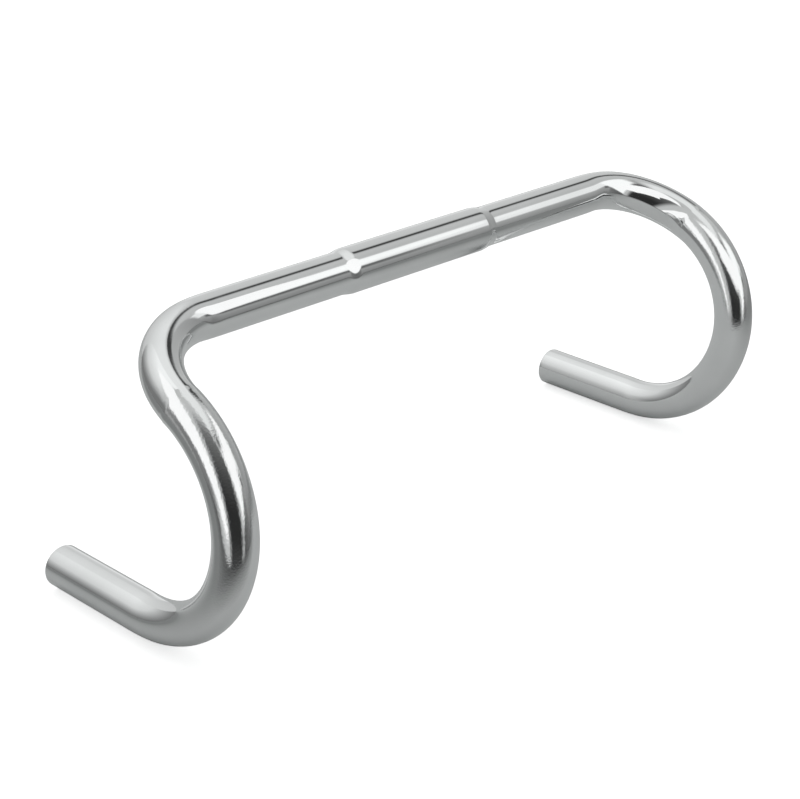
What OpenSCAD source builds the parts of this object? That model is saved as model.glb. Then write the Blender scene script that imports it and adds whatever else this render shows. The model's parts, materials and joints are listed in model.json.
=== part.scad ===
// Drop handlebar with a swelled clamp zone, sloping ramps and round hooks.
// Origin: centre of the clamp zone. +X runs across the bar, the front faces -Y and +Z is up.
// The two drops are level, so the bar stands on them.

/* [Tube] */
// Outside diameter of the tube away from the clamp zone
tube_d = 23.8; // [20:0.1:28]
// Wall thickness, the same all along the tube
wall = 1.8; // [1.4:0.1:3]
// Bevel on the cut edges at both tube ends
edge_bevel = 0.4; // [0.1:0.1:0.6]
// How much thinner the wall is on each face in the bends than in the straight drops
bend_thinning = 0.02; // [0.01:0.01:0.05]

/* [Clamp zone] */
// Outside diameter where the stem clamps the bar
clamp_d = 26; // [25:0.1:32]
// Length over which the clamp diameter is full
clamp_len = 102; // [60:1:120]
// Length of each smooth shoulder from the clamp diameter down to the tube
shoulder_len = 9; // [4:0.5:14]

/* [Bends] */
// Width of the bar, from the middle of one drop to the middle of the other
width = 410; // [370:5:500]
// Centreline radius of the bend from the flat top into the ramp
corner_r = 49; // [36:1:60]
// Slope of the ramp below straight ahead, in degrees
ramp_slope = 23.7; // [0:0.1:35]
// Centreline radius of the upper part of the hook
upper_r = 63; // [45:1:85]
// Angle that the upper part of the hook turns through, in degrees
upper_sweep = 77; // [60:1:100]
// Centreline radius of the lower part of the hook
lower_r = 73; // [45:1:95]
// Length of the straight drop behind the hook
drop_len = 72; // [50:1:140]

/* [Clamp liner] */
// Wall thickness of the sleeve inside the clamp zone
liner_wall = 1.6; // [1:0.1:3]
// Plain swelled bore left clear at each end of the sleeve
liner_setback = 3; // [1:0.5:10]
// Bevel on the outer edges of the sleeve
liner_bevel = 0.5; // [0.2:0.1:0.8]

/* [End plugs] */
// Radial gap between the plug's ribs and the bore
plug_gap = 0.05; // [0.02:0.01:0.1]
// How far the plug's face sits inside the tube end
plug_inset = 0.6; // [0.4:0.1:2]
// Thickness of the plug's face
plug_face_t = 4; // [3.5:0.5:6]
// Bevel round the plug's face
face_bevel = 0.4; // [0.2:0.1:0.8]
// Length of the plug behind its face
plug_skirt_len = 18; // [14:0.5:30]
// Wall thickness of the plug's skirt
plug_skirt_wall = 1.6; // [1:0.1:3]
// Height of the gripping ribs above the skirt
rib_h = 0.9; // [0.4:0.1:1.5]
// Number of gripping ribs
rib_count = 4; // [2:1:6]
// Width of a rib at its foot
rib_w = 2.4; // [1.5:0.1:2.8]
// Width of the pry slot in the plug's face
slot_w = 1.8; // [1:0.1:3]
// Length of the pry slot
slot_len = 12; // [8:0.5:15]
// Depth of the pry slot
slot_depth = 2; // [1:0.5:3]

/* [Hidden] */

FINE = 96;
SHOULDER_STEPS = 12;
EPS = 0.01;

tube_r = tube_d / 2;
bore_r = tube_r - wall;
clamp_r = clamp_d / 2;
swelled_bore_r = clamp_r - wall;
clamp_half = clamp_len / 2;
shoulder_end = clamp_half + shoulder_len;
half_width = width / 2;
top_half = half_width - corner_r;
hook_turn = 180 - ramp_slope;
lower_sweep = hook_turn - upper_sweep;
drop_overlap = 0.05;

liner_half = clamp_half - liner_setback;
liner_bore_r = swelled_bore_r - liner_wall;

plug_r = bore_r - plug_gap;
skirt_r = plug_r - rib_h;
skirt_bore_r = skirt_r - plug_skirt_wall;
face_back = -plug_inset - plug_face_t;
plug_back = face_back - plug_skirt_len;
rib_pitch = plug_skirt_len / rib_count;
rib_tip_w = rib_w / 3;

// The bends are laid out in a frame tilted about the X axis, in which the ramps run along -Y.
// Direction in the plane of a hook, a degrees further round than the ramp
function heading(a) = [0, -cos(a), -sin(a)];

// Middle of the right hook's bends and of its drop, in the tilted frame
corner_centre = [top_half, -corner_r, 0];
upper_centre = [half_width, -corner_r, -upper_r];
lower_shift = (lower_r - upper_r) * heading(upper_sweep + 90);
drop_start = upper_centre + lower_shift - lower_r * heading(hook_turn + 90);
bar_end = drop_start + drop_len * heading(hook_turn);

// Smooth step from 1 at t = 0 to 0 at t = 1
function swell(t) = (1 + cos(180 * t)) / 2;

// Points [radius, x] down the smooth shoulder, from thick_r to thin_r, on the +X or -X side (sign 1 or -1)
function shoulder(thin_r, thick_r, sign) =
    [for (i = [0 : SHOULDER_STEPS])
        [thin_r + (thick_r - thin_r) * swell(i / SHOULDER_STEPS),
         sign * (clamp_half + shoulder_len * i / SHOULDER_STEPS)]];

function reversed(points) = [for (i = [len(points) - 1 : -1 : 0]) points[i]];

function rounded(v) = [for (x = v) round(x * 1000) / 1000];

// Moves by v in two steps, the second very small, so that neighbours meet face to face
module place(v) {
    translate(rounded(v))
        translate(v - rounded(v))
            children();
}

module ring() {
    difference() {
        circle(r = tube_r - bend_thinning, $fn = FINE);
        circle(r = bore_r + bend_thinning, $fn = FINE);
    }
}

// Bend in the plane of the right hook, about the origin, from one heading on
module hook_bend(radius, from, sweep) {
    rotate([90, 0, 90])
        rotate_extrude(angle = sweep, start = from + 90, $fn = FINE)
            translate([radius, 0])
                ring();
}

// Swelled middle of the tube, from shoulder to shoulder
module clamp_zone() {
    thin_r = tube_r - bend_thinning;
    thin_bore_r = bore_r + bend_thinning;
    outside = concat(reversed(shoulder(thin_r, clamp_r, -1)), shoulder(thin_r, clamp_r, 1));
    inside = concat(
        reversed(shoulder(thin_bore_r, swelled_bore_r, -1)),
        shoulder(thin_bore_r, swelled_bore_r, 1)
    );
    rotate([0, 90, 0])
        rotate_extrude($fn = FINE)
            polygon(concat(outside, reversed(inside)));
}

// Straight drop along +Z from the end of the hook, with bevelled edges at its far end
module drop() {
    rotate_extrude($fn = FINE)
        polygon([
            [bore_r, -drop_overlap],
            [tube_r, -drop_overlap],
            [tube_r, drop_len - edge_bevel],
            [tube_r - edge_bevel, drop_len],
            [bore_r + edge_bevel, drop_len],
            [bore_r, drop_len - edge_bevel]
        ]);
}

// Everything to the right of the clamp zone, in the tilted frame
module right_half() {
    translate([shoulder_end, 0, 0])
        rotate([0, 90, 0])
            linear_extrude(height = top_half - shoulder_end)
                ring();
    translate(corner_centre)
        rotate_extrude(angle = 90, start = 0, $fn = FINE)
            translate([corner_r, 0])
                ring();
    translate(upper_centre) {
        hook_bend(upper_r, 0, upper_sweep);
        place(lower_shift)
            hook_bend(lower_r, upper_sweep, lower_sweep);
    }
    translate(drop_start)
        rotate([-ramp_slope - 90, 0, 0])
            drop();
}

module bar_tube() {
    color("silver")
        rotate([ramp_slope, 0, 0]) {
            clamp_zone();
            right_half();
            mirror([1, 0, 0])
                right_half();
        }
}

module clamp_liner() {
    color("lightgray")
        rotate([0, 90, 0])
            rotate_extrude($fn = FINE)
                polygon([
                    [liner_bore_r, -liner_half],
                    [swelled_bore_r - liner_bevel, -liner_half],
                    [swelled_bore_r, -liner_half + liner_bevel],
                    [swelled_bore_r, liner_half - liner_bevel],
                    [swelled_bore_r - liner_bevel, liner_half],
                    [liner_bore_r, liner_half]
                ]);
}

// Slot with round ends, sunk from the plug's face
module pry_slot() {
    slot_reach = slot_len / 2 - slot_w / 2;
    translate([0, 0, -plug_inset - slot_depth]) {
        for (side = [-1, 1])
            translate([side * slot_reach, 0, 0])
                cylinder(r = slot_w / 2, h = slot_depth + EPS, $fn = 32);
        translate([-slot_reach, -slot_w / 2, 0])
            cube([2 * slot_reach, slot_w, slot_depth + EPS]);
    }
}

// Push-in plug with its face outward along +Z, and the tube's end at z = 0
module end_plug() {
    difference() {
        union() {
            rotate_extrude($fn = FINE)
                polygon([
                    [0, face_back],
                    [skirt_bore_r, face_back],
                    [skirt_bore_r, plug_back],
                    [skirt_r, plug_back],
                    [skirt_r, face_back],
                    [plug_r, face_back],
                    [plug_r, -plug_inset - face_bevel],
                    [plug_r - face_bevel, -plug_inset],
                    [0, -plug_inset]
                ]);
            for (i = [0 : rib_count - 1])
                translate([0, 0, plug_back + rib_pitch * (i + 0.5)])
                    rib();
        }
        pry_slot();
    }
}

// One gripping rib round the skirt, with sloping sides
module rib() {
    rotate_extrude($fn = FINE)
        polygon([
            [skirt_r - plug_skirt_wall / 2, -rib_w / 2],
            [skirt_r, -rib_w / 2],
            [plug_r, -rib_tip_w / 2],
            [plug_r, rib_tip_w / 2],
            [skirt_r, rib_w / 2],
            [skirt_r - plug_skirt_wall / 2, rib_w / 2]
        ]);
}

module seated_plug() {
    rotate([ramp_slope, 0, 0])
        translate(bar_end)
            rotate([-ramp_slope - 90, 0, 0])
                end_plug();
}

module end_plug_right() {
    color("dimgray")
        seated_plug();
}

module end_plug_left() {
    color("dimgray")
        mirror([1, 0, 0])
            seated_plug();
}

bar_tube();
clamp_liner();
end_plug_left();
end_plug_right();
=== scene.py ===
"""Drop handlebar: a polished bent tube with a swelled clamp zone, a liner inside it and two push-in end plugs."""
import json
import math

import bpy
from mathutils import Matrix, Vector, noise


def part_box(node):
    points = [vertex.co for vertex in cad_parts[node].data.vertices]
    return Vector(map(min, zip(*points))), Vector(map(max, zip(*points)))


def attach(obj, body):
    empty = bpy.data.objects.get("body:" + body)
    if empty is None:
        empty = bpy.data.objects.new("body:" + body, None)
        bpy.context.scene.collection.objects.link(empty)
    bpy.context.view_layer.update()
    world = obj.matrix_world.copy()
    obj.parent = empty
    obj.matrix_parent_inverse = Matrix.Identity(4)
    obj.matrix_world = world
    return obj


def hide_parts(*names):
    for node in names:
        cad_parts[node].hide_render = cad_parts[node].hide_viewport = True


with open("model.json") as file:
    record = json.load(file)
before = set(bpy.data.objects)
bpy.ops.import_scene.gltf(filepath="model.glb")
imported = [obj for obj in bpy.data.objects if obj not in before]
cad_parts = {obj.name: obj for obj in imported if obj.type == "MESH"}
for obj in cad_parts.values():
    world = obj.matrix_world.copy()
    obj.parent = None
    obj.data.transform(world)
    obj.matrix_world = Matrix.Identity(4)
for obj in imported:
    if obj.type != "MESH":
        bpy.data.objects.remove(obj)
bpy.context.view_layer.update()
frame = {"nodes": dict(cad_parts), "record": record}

# ---------------------------------------------------------------- sizes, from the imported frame

MOUNTS = {m["name"]: m for m in frame["record"]["mounts"]}
TUBE_R = MOUNTS["grip_right"]["dims"]["r_mm"] / 1000
CLAMP_R = MOUNTS["stem_clamp"]["dims"]["r_mm"] / 1000
CLAMP_HALF = MOUNTS["stem_clamp"]["dims"]["length_mm"] / 2000
BAR_LOW, BAR_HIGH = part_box("bar_tube")
HALF_WIDTH = BAR_HIGH.x - TUBE_R
DROP_Z = MOUNTS["grip_right"]["pos_m"][2]
BAR_END = BAR_HIGH.y
FLOOR_Z = BAR_LOW.z

# Driving sizes that the frame doesn't state, in metres and degrees
WALL = 0.0018
SHOULDER = 0.009
EDGE = 0.0004
CORNER_R = 0.049
RAMP_SLOPE = 23.7
UPPER_R = 0.063
UPPER_SWEEP = 77.0
LOWER_R = 0.073

# How far a bend squeezes the round tube in the bend's own plane, and what share of that bulges it across
CORNER_FLAT = 0.065
HOOK_FLAT = 0.02
BULGE = 0.4
# Length over which a bend's squeeze comes and goes
EASE = 0.014
# How much the metal stretched in a corner, next to 1 in a hook
CORNER_STRETCH = 0.35
# Depth of the unevenness that hand polishing leaves, and how often it comes in a metre
POLISH_WAVE = 0.00002
WAVES_PER_METRE = 42

SIDES = 112


def smooth(t):
    """Eases from 0 to 1, flat outside."""
    t = min(max(t, 0.0), 1.0)
    return t * t * (3 - 2 * t)


# ---------------------------------------------------------------- centreline of the right half

X = Vector((1, 0, 0))


def heading(degrees):
    """Direction in a hook's plane: 0 is straight ahead, 90 is down."""
    a = math.radians(degrees)
    return Vector((0, -math.cos(a), -math.sin(a)))


def even_steps(length, step):
    """Even distances from 0 up to this length, without the length itself."""
    count = max(1, round(length / step))
    return [length * i / count for i in range(count)]


class Stop:
    """One cross-section of the tube: where it is, which way it runs, and how the bend has squeezed it."""

    def __init__(self, at, along, inward, radius, squeeze, bulge, stretch, run):
        self.at, self.along, self.inward = at, along, inward
        self.radius, self.squeeze, self.bulge = radius, squeeze, bulge
        self.stretch, self.run = stretch, run


def radius_at(x):
    """The clamp zone's radius eases down to the tube's over a smooth shoulder."""
    t = min(max((abs(x) - CLAMP_HALF) / SHOULDER, 0.0), 1.0)
    return TUBE_R + (CLAMP_R - TUBE_R) * (1 + math.cos(math.pi * t)) / 2


def right_half():
    """The stops from the middle of the bar to the end of the right drop."""
    ramp = heading(RAMP_SLOPE)
    top_half = HALF_WIDTH - CORNER_R
    shoulder_end = CLAMP_HALF + SHOULDER
    lower_sweep = 180 - RAMP_SLOPE - UPPER_SWEEP
    stops = []

    def ease(s, length):
        return smooth((s + EASE / 2) / EASE) * smooth((length + EASE / 2 - s) / EASE)

    corner_len = CORNER_R * math.pi / 2
    xs = even_steps(CLAMP_HALF, 0.003)
    xs += [CLAMP_HALF + s for s in even_steps(SHOULDER, 0.0005)]
    xs += [shoulder_end + s for s in even_steps(top_half - shoulder_end, 0.0022)]
    for x in xs:
        squeeze = CORNER_FLAT * ease(x - top_half, corner_len)
        stops.append(Stop(X * x, X, ramp, radius_at(x), squeeze, BULGE, 0.0, x))
    run = top_half
    centre = X * top_half + ramp * CORNER_R
    for s in even_steps(corner_len, 0.0013):
        a = s / CORNER_R
        squeeze = CORNER_FLAT * ease(s, corner_len)
        at = centre - ramp * CORNER_R * math.cos(a) + X * CORNER_R * math.sin(a)
        along = X * math.cos(a) + ramp * math.sin(a)
        inward = ramp * math.cos(a) - X * math.sin(a)
        stretch = CORNER_STRETCH * squeeze / CORNER_FLAT
        stops.append(Stop(at, along, inward, TUBE_R, squeeze, BULGE, stretch, run + s))
    run += corner_len
    at = centre + X * CORNER_R
    angle = RAMP_SLOPE
    hook_len = math.radians(UPPER_SWEEP) * UPPER_R + math.radians(lower_sweep) * LOWER_R
    done = 0.0
    for radius, sweep in ((UPPER_R, UPPER_SWEEP), (LOWER_R, lower_sweep)):
        centre = at + heading(angle + 90) * radius
        length = math.radians(sweep) * radius
        for s in even_steps(length, 0.0015):
            turned = angle + math.degrees(s / radius)
            inward = heading(turned + 90)
            share = ease(done + s, hook_len)
            stops.append(Stop(centre - inward * radius, heading(turned), inward, TUBE_R,
                              HOOK_FLAT * share, 0.0, share, run + s))
        at = centre - heading(angle + sweep + 90) * radius
        angle += sweep
        run += length
        done += length
    back, up = Vector((0, 1, 0)), Vector((0, 0, 1))
    drop_len = BAR_END - EDGE - at.y
    for s in even_steps(drop_len, 0.003):
        squeeze = HOOK_FLAT * smooth((EASE / 2 - s) / EASE)
        stops.append(Stop(at + back * s, back, up, TUBE_R, squeeze, 0.0, squeeze / HOOK_FLAT, run + s))
    end = at + back * drop_len
    end.z = DROP_Z
    stops.append(Stop(end, back, up, TUBE_R, 0.0, 0.0, 0.0, run + drop_len))
    return stops


def mirrored(stop):
    flip = Vector((-1, 1, 1))
    return Stop(stop.at * flip, -(stop.along * flip), stop.inward * flip, stop.radius, stop.squeeze, stop.bulge,
                stop.stretch, -stop.run)


half = right_half()
stops = [mirrored(s) for s in reversed(half[1:])] + half


def transported(stops):
    """A frame for each stop that doesn't spin about the tube, so that the sides run straight along it."""
    frames = []
    side = stops[0].along.cross(X).normalized()
    for s in stops:
        side = (side - s.along * side.dot(s.along)).normalized()
        frames.append((side.copy(), s.along.cross(side)))
    return frames


frames = transported(stops)


# ---------------------------------------------------------------- mesh helpers

def ring_faces(first, second, count):
    """The four-sided faces between two rings of vertices."""
    around = [(j, (j + 1) % count) for j in range(count)]
    return [(first + j, second + j, second + k, first + k) for j, k in around]


def make_object(name, vertices, faces, materials, slots=None, uvs=None, attributes=None):
    """An object of smooth faces. UVs come a face at a time, and attributes a vertex at a time."""
    mesh = bpy.data.meshes.new(name)
    mesh.from_pydata(vertices, [], faces)
    for material in materials:
        mesh.materials.append(material)
    if slots is not None:
        mesh.polygons.foreach_set("material_index", slots)
    mesh.polygons.foreach_set("use_smooth", [True] * len(faces))
    if uvs is not None:
        layer = mesh.uv_layers.new(name="along_tube")
        layer.data.foreach_set("uv", [value for face in uvs for corner in face for value in corner])
    for key, values in (attributes or {}).items():
        attribute = mesh.attributes.new(key, "FLOAT", "POINT")
        attribute.data.foreach_set("value", values)
    mesh.update()
    obj = bpy.data.objects.new(name, mesh)
    bpy.context.scene.collection.objects.link(obj)
    return obj


# ---------------------------------------------------------------- the bent tube

POLISHED, CUT = 0, 1


def wave(point):
    """Hand polishing leaves the surface very slightly uneven. Always inward, from 0 to 1."""
    return 0.5 + 0.45 * noise.noise(point * WAVES_PER_METRE)


def section(stop, frame, radius, waviness=0.0):
    """The vertices round one section of the tube, at this radius before the bend squeezes it."""
    points = []
    across = stop.along.cross(stop.inward)
    for j in range(SIDES):
        a = 2 * math.pi * j / SIDES
        d = frame[0] * math.cos(a) + frame[1] * math.sin(a)
        into, out = d.dot(stop.inward), d.dot(across)
        p = stop.inward * (into * (1 - stop.squeeze)) + across * (out * (1 + stop.bulge * stop.squeeze))
        r = radius - waviness * wave(stop.at + d * radius) if waviness else radius
        points.append(stop.at + p * r)
    return points


def build_tube(materials):
    """One closed skin: the outside from left to right, the right end's edge, the bore, and the left end's edge."""
    vertices, faces, slots, uvs = [], [], [], []
    rings, runs, grain = [], [], []
    fillet = [math.radians(a) for a in (22.5, 45, 67.5, 90)]

    def add_ring(points, run):
        rings.append(len(vertices))
        runs.append(run)
        vertices.extend(points)

    def add_outer(stop, frame):
        points = section(stop, frame, stop.radius, POLISH_WAVE)
        add_ring(points, stop.run)
        for p in points:
            # the grain is on the outside of the bend, where the metal stretched
            outer = 0.5 - 0.5 * (p - stop.at).normalized().dot(stop.inward)
            grain.append(stop.stretch * smooth(outer * 1.6 - 0.3))

    def add_edge(stop, frame, outward, radius, inset, angles):
        """A rounded edge: radius is that of the tube or the bore, and inset is -1 or 1."""
        for a in angles:
            at = stop.at + outward * (EDGE * math.sin(a))
            moved = Stop(at, stop.along, stop.inward, stop.radius, 0, 0, 0, stop.run)
            add_ring(section(moved, frame, radius + inset * EDGE * (1 - math.cos(a))), stop.run)

    bore = TUBE_R - WALL
    for stop, frame in zip(stops, frames):
        add_outer(stop, frame)
    outer_count = len(rings)
    right, left = (stops[-1], frames[-1], stops[-1].along), (stops[0], frames[0], -stops[0].along)
    add_edge(*right, TUBE_R, -1, fillet)
    add_edge(*right, bore, 1, reversed([0.0] + fillet[:-1]))
    # the bore has a ring at every third stop
    for i in range(len(stops) - 4, 0, -3):
        add_ring(section(stops[i], frames[i], stops[i].radius - WALL), stops[i].run)
    add_edge(*left, bore, 1, [0.0] + fillet[:-1])
    add_edge(*left, TUBE_R, -1, reversed(fillet))
    grain += [0.0] * (len(vertices) - len(grain))

    total = len(rings)
    for i in range(total):
        k = (i + 1) % total
        faces += ring_faces(rings[i], rings[k], SIDES)
        slots += [POLISHED if i < outer_count - 1 or i >= total - 2 else CUT] * SIDES
        for j in range(SIDES):
            v0, v1 = TUBE_R * 2 * math.pi * j / SIDES, TUBE_R * 2 * math.pi * (j + 1) / SIDES
            uvs.append(((runs[i], v0), (runs[k], v0), (runs[k], v1), (runs[i], v1)))
    return make_object("bar_tube_skin", vertices, faces, materials, slots, uvs, {"bend_grain": grain})


# ---------------------------------------------------------------- end plugs

PLUG_SIDES = 160
# Moulded sizes in metres, as in the CAD plug
FACE_T, RIB_H, SKIRT_WALL, RIBS = 0.004, 0.0009, 0.0016, 4
SLOT_REACH, SLOT_HALF, SLOT_DEPTH = 0.0051, 0.0009, 0.002
FACE_EDGE = 0.0006
RIB_STEPS, RIB_HALF = 16, 0.0012


def stadium_radius(angle, reach, half_width):
    """Distance from the middle of a slot with round ends to its edge, in this direction."""
    c, s = abs(math.cos(angle)), abs(math.sin(angle))
    if s > 1e-9 and half_width / s * c <= reach:
        return half_width / s
    return reach * c + math.sqrt(max(0.0, half_width ** 2 - (reach * s) ** 2))


def build_plug(name, node, materials):
    """A moulded plug: face with a pry slot, skirt with rounded ribs, hollow behind. Its face looks along +Y."""
    low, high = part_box(node)
    centre = Vector(((low.x + high.x) / 2, high.y, (low.z + high.z) / 2))
    r = (high.x - low.x) / 2
    length = high.y - low.y
    skirt = r - RIB_H
    bore = skirt - SKIRT_WALL
    flat_r = r - 0.0011
    vertices, rings = [], []
    # the turns lie closer together where the slot's round ends are
    even = [2 * math.pi * j / PLUG_SIDES for j in range(PLUG_SIDES)]
    turns = [a - 0.32 * math.sin(2 * a) for a in even]

    def add(radius_of, depth):
        rings.append(len(vertices))
        for a in turns:
            q = radius_of(a)
            vertices.append((centre.x + q * math.cos(a), centre.y - depth, centre.z + q * math.sin(a)))

    def slot_rings(pairs):
        for grow, depth in pairs:
            add(lambda a: stadium_radius(a, SLOT_REACH, SLOT_HALF + grow), depth)

    def round_rings(pairs):
        for q, depth in pairs:
            add(lambda a: q, depth)

    # the slot's floor, its wall and its soft rim
    slot_rings(((-0.00025, SLOT_DEPTH), (-0.00008, SLOT_DEPTH - 0.00005), (0.0, SLOT_DEPTH - 0.0002),
                (0.0, 0.0002), (0.00005, 0.00008), (0.00016, 0.00002), (0.0004, 0.0)))
    # the flat face, from the slot out to a circle
    for t in (0.35, 0.7):
        add(lambda a: stadium_radius(a, SLOT_REACH, SLOT_HALF + 0.0004) * (1 - t) + flat_r * t, 0.0)
    round_rings(((flat_r, 0.0),))
    # the rounded edge of the face, its side and its back
    for a in (0, 18, 36, 54, 72, 90):
        q = math.radians(a)
        round_rings(((r - FACE_EDGE * (1 - math.sin(q)), FACE_EDGE * (1 - math.cos(q))),))
    round_rings(((r, FACE_T - 0.0002), (r - 0.00006, FACE_T - 0.00006), (r - 0.0002, FACE_T),
                 (skirt + 0.00015, FACE_T), (skirt, FACE_T + 0.00012)))
    for n in range(RIBS):
        middle = FACE_T + (length - FACE_T) / RIBS * (n + 0.5)
        for i in range(RIB_STEPS + 1):
            t = -1 + 2 * i / RIB_STEPS
            round_rings(((skirt + RIB_H * (1 - smooth(abs(t) * 1.25 - 0.25)), middle + t * RIB_HALF),))
    # the open end of the skirt, the hollow, and a moulding gate left in the middle of it
    round_rings(((skirt, length - 0.0003), (skirt - 0.0001, length - 0.0001), (skirt - 0.0003, length),
                 (bore + 0.0003, length), (bore + 0.0001, length - 0.0001), (bore, length - 0.0003),
                 (bore, FACE_T + 0.0005), (bore - 0.00015, FACE_T + 0.00015), (bore - 0.0005, FACE_T),
                 (0.0022, FACE_T), (0.0019, FACE_T + 0.0001), (0.0015, FACE_T + 0.0008), (0.0012, FACE_T + 0.001)))
    faces = []
    for first, second in zip(rings, rings[1:]):
        faces += [tuple(reversed(face)) for face in ring_faces(first, second, PLUG_SIDES)]
    faces.append(tuple(rings[0] + j for j in range(PLUG_SIDES - 1, -1, -1)))
    faces.append(tuple(rings[-1] + j for j in range(PLUG_SIDES)))
    return make_object(name, vertices, faces, materials)


# ---------------------------------------------------------------- materials

class Nodes:
    """A little help to write node trees as expressions."""

    def __init__(self, tree):
        self.tree = tree
        tree.nodes.clear()

    def add(self, kind, inputs=None, **settings):
        node = self.tree.nodes.new(kind)
        for key, value in settings.items():
            setattr(node, key, value)
        for key, value in (inputs or {}).items():
            self.put(node.inputs[key], value)
        return node

    def put(self, socket, value):
        if isinstance(value, bpy.types.NodeSocket):
            self.tree.links.new(value, socket)
        elif isinstance(value, bpy.types.Node):
            self.tree.links.new(value.outputs[0], socket)
        else:
            socket.default_value = value

    def math(self, operation, a, b=0.0, c=0.0):
        return self.add("ShaderNodeMath", {0: a, 1: b, 2: c}, operation=operation).outputs[0]

    def step(self, value, low, high):
        """From 0 at the low value to 1 at the high one, with soft ends."""
        return self.add("ShaderNodeMapRange", {"Value": value, "From Min": low, "From Max": high},
                        interpolation_type="SMOOTHSTEP").outputs[0]

    def scale(self, value, low, high, out_low, out_high):
        return self.add("ShaderNodeMapRange", {"Value": value, "From Min": low, "From Max": high,
                                               "To Min": out_low, "To Max": out_high}).outputs[0]

    def dot(self, value, direction):
        return self.add("ShaderNodeVectorMath", {0: value, 1: direction}, operation="DOT_PRODUCT").outputs["Value"]

    def noise(self, place, scale, detail, roughness=0.5):
        return self.add("ShaderNodeTexNoise", {"Vector": place, "Scale": scale, "Detail": detail,
                                               "Roughness": roughness}).outputs[0]

    def stretched(self, place, scale, roughness=0.5):
        """Noise drawn out into lines."""
        at = self.add("ShaderNodeMapping", {"Vector": place, "Scale": scale})
        return self.noise(at, 1.0, 3.0, roughness)

    def mix(self, factor, a, b):
        node = self.add("ShaderNodeMix", data_type="RGBA")
        self.put(node.inputs["Factor"], factor)
        self.put(node.inputs["A"], a)
        self.put(node.inputs["B"], b)
        return node.outputs["Result"]


def new_material(name):
    material = bpy.data.materials.new(name)
    material.use_nodes = True
    return material, Nodes(material.node_tree)


def finish_material(n, tint, rough, height, strength, distance, metallic=1.0):
    bump = n.add("ShaderNodeBump", {"Strength": strength, "Distance": distance, "Height": height})
    shader = n.add("ShaderNodeBsdfPrincipled", {"Base Color": tint, "Metallic": metallic, "Roughness": rough,
                                                "Normal": bump})
    n.add("ShaderNodeOutputMaterial", {"Surface": shader})


def polished_alloy():
    """Mirror-polished tube: fine polishing lines along it, soft haze, and a grain where the bends stretched it."""
    material, n = new_material("polished_alloy")
    place = n.add("ShaderNodeTexCoord").outputs
    lines = n.stretched(place["UV"], (22, 3600, 1), 0.6)
    haze = n.noise(place["Object"], 38.0, 4.0, 0.55)
    fine = n.noise(place["Object"], 950.0, 2.0)
    grain = n.add("ShaderNodeAttribute", attribute_name="bend_grain").outputs["Fac"]
    tint = n.mix(n.scale(haze, 0.3, 0.7, 0, 1), (0.838, 0.848, 0.848, 1), (0.882, 0.89, 0.89, 1))
    rough = n.math("ADD", n.scale(haze, 0.3, 0.75, 0.055, 0.1), n.scale(lines, 0.35, 0.7, -0.012, 0.022))
    rough = n.math("MULTIPLY_ADD", grain, 0.03, rough)
    height = n.math("MULTIPLY", n.math("SUBTRACT", fine, 0.5), n.math("MULTIPLY_ADD", grain, 3.8, 0.1))
    height = n.math("MULTIPLY_ADD", n.math("SUBTRACT", lines, 0.5), 0.05, height)
    finish_material(n, tint, rough, height, 0.6, 0.00003)
    return material


def satin_alloy(name, coordinates, cloud_scale, line_scale, dark, light, cloud_rough, line_rough):
    """Dull drawn metal, with fine lines and a cloudy tone."""
    material, n = new_material(name)
    place = n.add("ShaderNodeTexCoord").outputs
    cloud = n.noise(place["Object"], cloud_scale, 4.0)
    lines = n.stretched(place[coordinates], line_scale)
    tint = n.mix(n.scale(cloud, 0.3, 0.7, 0, 1), (*dark, 1), (*light, 1))
    rough = n.math("ADD", n.scale(cloud, 0.3, 0.7, *cloud_rough), n.scale(lines, 0.3, 0.7, *line_rough))
    finish_material(n, tint, rough, lines, 0.5, 0.00004)
    return material


def plug_plastic():
    """Black moulded plastic with a fine spark-eroded texture, a little lighter where it has rubbed."""
    material, n = new_material("plug_plastic")
    place = n.add("ShaderNodeTexCoord").outputs
    texture = n.noise(place["Object"], 4200.0, 2.0)
    cloud = n.noise(place["Object"], 220.0, 4.0, 0.6)
    tint = n.mix(n.scale(cloud, 0.35, 0.7, 0, 1), (0.030, 0.030, 0.032, 1), (0.055, 0.055, 0.058, 1))
    rough = n.math("ADD", n.scale(cloud, 0.3, 0.7, 0.5, 0.66), n.scale(texture, 0.3, 0.7, -0.05, 0.05))
    finish_material(n, tint, rough, texture, 0.5, 0.00003, 0.0)
    return material


polished, plastic = polished_alloy(), plug_plastic()
# the cut ends and the bore, with lines round the edge
cut = satin_alloy("cut_alloy", "UV", 160.0, (40, 1800, 1), (0.60, 0.61, 0.62), (0.72, 0.73, 0.735),
                  (0.3, 0.42), (-0.06, 0.08))
# the liner, with lines along it
plain = satin_alloy("plain_alloy", "Object", 90.0, (35, 2400, 2400), (0.62, 0.63, 0.64), (0.74, 0.75, 0.755),
                    (0.26, 0.36), (-0.05, 0.07))

tube = build_tube([polished, cut])
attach(tube, "bar")
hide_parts("bar_tube")

for side in ("left", "right"):
    plug = build_plug(f"plug_{side}_moulding", f"end_plug_{side}", [plastic])
    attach(plug, f"plug_{side}")
    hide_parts(f"end_plug_{side}")

liner = frame["nodes"]["clamp_liner"]
liner.data.materials.clear()
liner.data.materials.append(plain)


# ---------------------------------------------------------------- camera

VIEW_AZIMUTH, VIEW_ELEVATION, VIEW_ROLL = -46.01, 23.665, 0.972
VIEW_DISTANCE = 0.9616
VIEW_LENS = 84.36
VIEW_TARGET = Vector((-0.09077, -0.08048, -0.03922))


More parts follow.
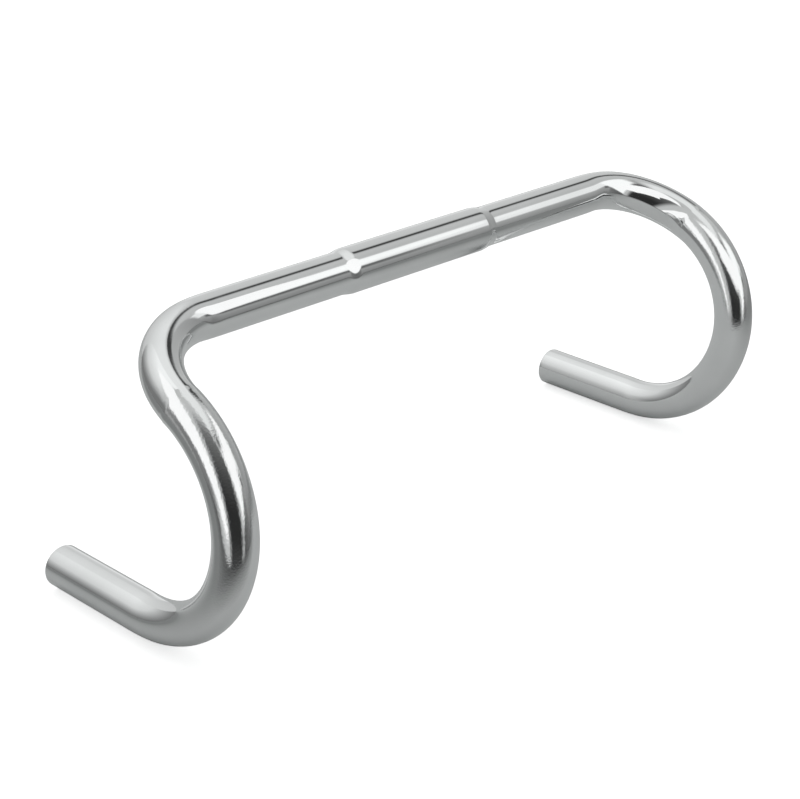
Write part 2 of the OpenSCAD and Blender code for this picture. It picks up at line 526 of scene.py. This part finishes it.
def make_camera():
    a, e = math.radians(VIEW_AZIMUTH), math.radians(VIEW_ELEVATION)
    back = Vector((math.sin(a) * math.cos(e), -math.cos(a) * math.cos(e), math.sin(e)))
    right = (-back).cross(Vector((0, 0, 1))).normalized()
    up = right.cross(-back)
    roll = math.radians(VIEW_ROLL)
    right, up = right * math.cos(roll) + up * math.sin(roll), up * math.cos(roll) - right * math.sin(roll)
    data = bpy.data.cameras.new("camera")
    data.lens = VIEW_LENS
    data.sensor_width = 36
    data.sensor_fit = "HORIZONTAL"
    data.clip_start, data.clip_end = 0.01, 50
    camera = bpy.data.objects.new("camera", data)
    turn = Matrix((right, up, back)).transposed().to_4x4()
    camera.matrix_world = Matrix.Translation(VIEW_TARGET + back * VIEW_DISTANCE) @ turn
    bpy.context.scene.collection.objects.link(camera)
    bpy.context.scene.camera = camera


make_camera()


# ---------------------------------------------------------------- studio

# What the polished metal gives back, so that a mirrored grey comes out at the level named
MIRROR = 0.86


def grey(level):
    """Linear value of a display grey from 0 to 1."""
    return level / 12.92 if level <= 0.04045 else ((level + 0.055) / 1.055) ** 2.4


def matt(n, colour, emission=0.0):
    shader = n.add("ShaderNodeBsdfPrincipled", {"Base Color": colour, "Roughness": 1.0, "Specular IOR Level": 0.0,
                                                "Emission Color": (1, 1, 1, 1), "Emission Strength": emission})
    n.add("ShaderNodeOutputMaterial", {"Surface": shader})


def stage_plane(name, points, camera_sees):
    """A flat stage piece that either the camera or the mirrors see. Returns the nodes of its material."""
    mesh = bpy.data.meshes.new(name)
    mesh.from_pydata([tuple(p) for p in points], [], [tuple(range(len(points)))])
    material, n = new_material(name)
    mesh.materials.append(material)
    obj = bpy.data.objects.new(name, mesh)
    bpy.context.scene.collection.objects.link(obj)
    obj.visible_camera = camera_sees
    obj.visible_glossy = not camera_sees
    obj.visible_diffuse = False
    obj.visible_shadow = False
    return n


def disc(radius, z, count=96):
    turns = [2 * math.pi * i / count for i in range(count)]
    return [(radius * math.cos(a), radius * math.sin(a), z) for a in turns]


# The camera sees a white paper floor. Mirrors see a grey table, whose front edge is just ahead of the near hook.
TABLE_FACES = -37.0
TABLE_EDGE = 0.29
TABLE_LEFT = -0.55
FAR = 5
# TABLE_DIM is partly painted shade laid over TABLE_GREY; TABLE_DARK is the darker grey towards the front edge
TABLE_GREY, TABLE_DIM, TABLE_DARK = (0.70, 0.708, 0.706, 1), (0.36, 0.366, 0.365, 1), (0.11, 0.11, 0.11, 1)


def make_table():
    a = math.radians(TABLE_FACES)
    ahead, aside = Vector((math.sin(a), -math.cos(a), 0)), Vector((math.cos(a), math.sin(a), 0))
    # where the front edge meets the left edge
    corner = ahead * TABLE_EDGE + aside * ((TABLE_LEFT - ahead.x * TABLE_EDGE) / aside.x)
    points = [corner, ahead * TABLE_EDGE + aside * FAR, aside * FAR - ahead * FAR, Vector((TABLE_LEFT, FAR, 0))]
    for point in points:
        point.z = FLOOR_Z - 0.0001
    n = stage_plane("table_grey", points, False)
    # painted shade: it darkens far to the right, where less light reaches it; it also darkens to the left of the bar
    # and towards the front edge
    place = n.add("ShaderNodeTexCoord").outputs["Object"]
    shade = n.mix(n.scale(n.dot(place, (0.82, -0.57, 0)), 0.2, 0.6, 0.0, 1.0), TABLE_GREY, TABLE_DIM)
    shade = n.mix(n.scale(n.dot(place, (1, 0, 0)), -0.225, -0.29, 0.0, 1.0), shade, TABLE_DIM)
    shade = n.mix(n.scale(n.dot(place, ahead), 0.205, TABLE_EDGE, 0.0, 1.0), shade, TABLE_DARK)
    matt(n, shade)


matt(stage_plane("floor", disc(6.0, FLOOR_Z - 0.0002), True), (0.95, 0.95, 0.95, 1), 0.62)
make_table()


def panel(name, points):
    """A soft light panel of the tent that only mirrors see."""
    matt(stage_plane(name, points, False), (0.0, 0.0, 0.0, 1), 1.1)


# The left panel stands across the X axis and leans back. Each point is y, z.
LEFT_PANEL_X = -0.65
LEFT_PANEL = ((-0.28, -0.26), (-0.18, -0.26), (0.12, 0.09), (0.35, 0.56), (0.9, 1.4), (0.1, 1.4), (-0.2, 0.35))
panel("panel_left", [(LEFT_PANEL_X, y, z) for y, z in LEFT_PANEL])

# The overhead panel lies level above the front of the bar, to the right of the camera. Each point is x, y.
OVERHEAD_Z = 0.29
OVERHEAD = ((-0.19, -1.6), (0.7, -1.6), (0.4, -0.66), (0.18, -0.17), (0.12, -0.12), (0.05, -0.11), (0.03, -0.2),
            (-0.05, -0.34), (-0.19, -0.42))
panel("panel_overhead", [(x, y, OVERHEAD_Z) for x, y in OVERHEAD])


def make_world():
    """A photographer's tent: pale cloth round the bar, a light at the right of the camera, and a dark gap."""
    world = bpy.data.worlds.new("studio")
    bpy.context.scene.world = world
    world.use_nodes = True
    n = Nodes(world.node_tree)
    place = n.add("ShaderNodeTexCoord").outputs["Generated"]
    x, y, z = n.add("ShaderNodeSeparateXYZ", {0: place}).outputs
    forward = n.math("MULTIPLY", y, -1.0)
    deg = 180 / math.pi
    azimuth = n.math("MULTIPLY", n.math("ARCTAN2", x, forward), deg)
    elevation = n.math("MULTIPLY", n.math("ARCSINE", z), deg)
    # the angle about the X axis, up from the back: 0 is the back, 90 the zenith and 180 the front
    about_x = n.math("MULTIPLY_ADD", n.math("ARCTAN2", forward, z), deg, 90.0)

    def path(value, points):
        """A line through given points, flat outside them."""
        total = points[0][1]
        for (x0, y0), (x1, y1) in zip(points, points[1:]):
            total = n.math("ADD", n.scale(value, x0, x1, 0.0, y1 - y0), total)
        return total

    def above(value, edge, soft):
        """1 where the value is over the edge, 0 where it's under."""
        return n.step(n.math("SUBTRACT", value, edge), -soft, soft)

    def both(*masks):
        """The product of the masks."""
        total = masks[0]
        for m in masks[1:]:
            total = n.math("MULTIPLY", total, m)
        return total

    cool = (0.988, 1.0, 0.997)

    def paint(colour, mask, level):
        """Lays a grey of this level over the colour. A level may be a socket, as a share of display white."""
        if isinstance(level, float):
            v = grey(level) / MIRROR
            over = (v * cool[0], v * cool[1], v * cool[2], 1)
        else:
            linear = n.math("MULTIPLY", n.math("POWER", level, 2.2), 1 / MIRROR)
            over = n.add("ShaderNodeCombineColor", {0: n.math("MULTIPLY", linear, cool[0]), 1: linear,
                                                    2: n.math("MULTIPLY", linear, cool[2])}).outputs[0]
        return n.mix(mask, colour, over)

    # the cloth: pale high up, darker towards the horizon at the left and behind it
    colour = paint((0.5, 0.5, 0.5, 1), 1.0, path(elevation, [(-30, 0.66), (60, 0.88)]))
    colour = paint(colour, n.step(azimuth, -122, -134), path(elevation, [(0, 0.45), (25, 0.8), (60, 0.94)]))
    side_left = both(n.step(azimuth, -130, -118), n.step(azimuth, -84, -94))
    colour = paint(colour, side_left, path(elevation, [(0, 0.46), (30, 0.7)]))
    over_front = both(n.step(azimuth, -105, -95), n.step(azimuth, 5, -5))
    colour = paint(colour, over_front, 0.73)
    # the cloth to the right, dark next to the camera
    right = both(n.step(azimuth, 0, 8), n.step(azimuth, 125, 105), n.step(elevation, 62, 50))
    colour = paint(colour, right, path(azimuth, [(5, 0.3), (45, 0.52), (110, 0.68)]))
    # what the long tube mirrors, far to the right: a low pale wall behind, grey above, and dark in front
    far_right = both(n.step(x, 0.5, 0.58), n.step(x, 0.82, 0.77))
    colour = paint(colour, far_right, path(about_x, [(-25, 1.0), (25, 0.77), (100, 0.72), (150, 0.65), (200, 0.46)]))
    # a pale strip of cloth above the front, with a dark seam under its near end
    strip = both(n.step(about_x, 118, 126), n.step(about_x, 158, 150), far_right)
    colour = paint(colour, strip, 0.9)
    seam = both(n.step(about_x, 151, 158), n.step(about_x, 170, 162), n.step(x, 0.54, 0.6), n.step(x, 0.72, 0.66))
    colour = paint(colour, seam, 0.36)
    # a dark rail that runs across above the back
    rail = both(n.step(about_x, 66, 76), n.step(about_x, 90, 79), n.step(x, 0.56, 0.61), n.step(x, 0.83, 0.77))
    colour = paint(colour, rail, 0.22)
    # the light at the right of the camera, cut off by a slanting foot
    foot = path(azimuth, [(0, -18), (30, 12), (60, 33)])
    head = path(azimuth, [(5, 30), (30, 50)])
    light = both(n.step(azimuth, 1, 7), n.step(azimuth, 63, 55), above(elevation, foot, 2.5),
                 above(head, elevation, 4))
    colour = paint(colour, light, 0.98)
    # the dark gap, where the camera stands
    gap = both(n.step(azimuth, -68, -54), n.step(azimuth, 1, -9), n.step(elevation, 76, 56))
    colour = paint(colour, gap, path(elevation, [(-60, 0.36), (-20, 0.18), (0, 0.18), (60, 0.45)]))
    # the camera sees plain white behind the floor's edge
    camera_ray = n.add("ShaderNodeLightPath").outputs["Is Camera Ray"]
    background = n.add("ShaderNodeBackground", {"Color": n.mix(camera_ray, colour, (1, 1, 1, 1)), "Strength": 1.0})
    n.add("ShaderNodeOutputWorld", {"Surface": background})


make_world()

bpy.context.scene.view_settings.view_transform = "Standard"
bpy.context.scene.view_settings.look = "None"
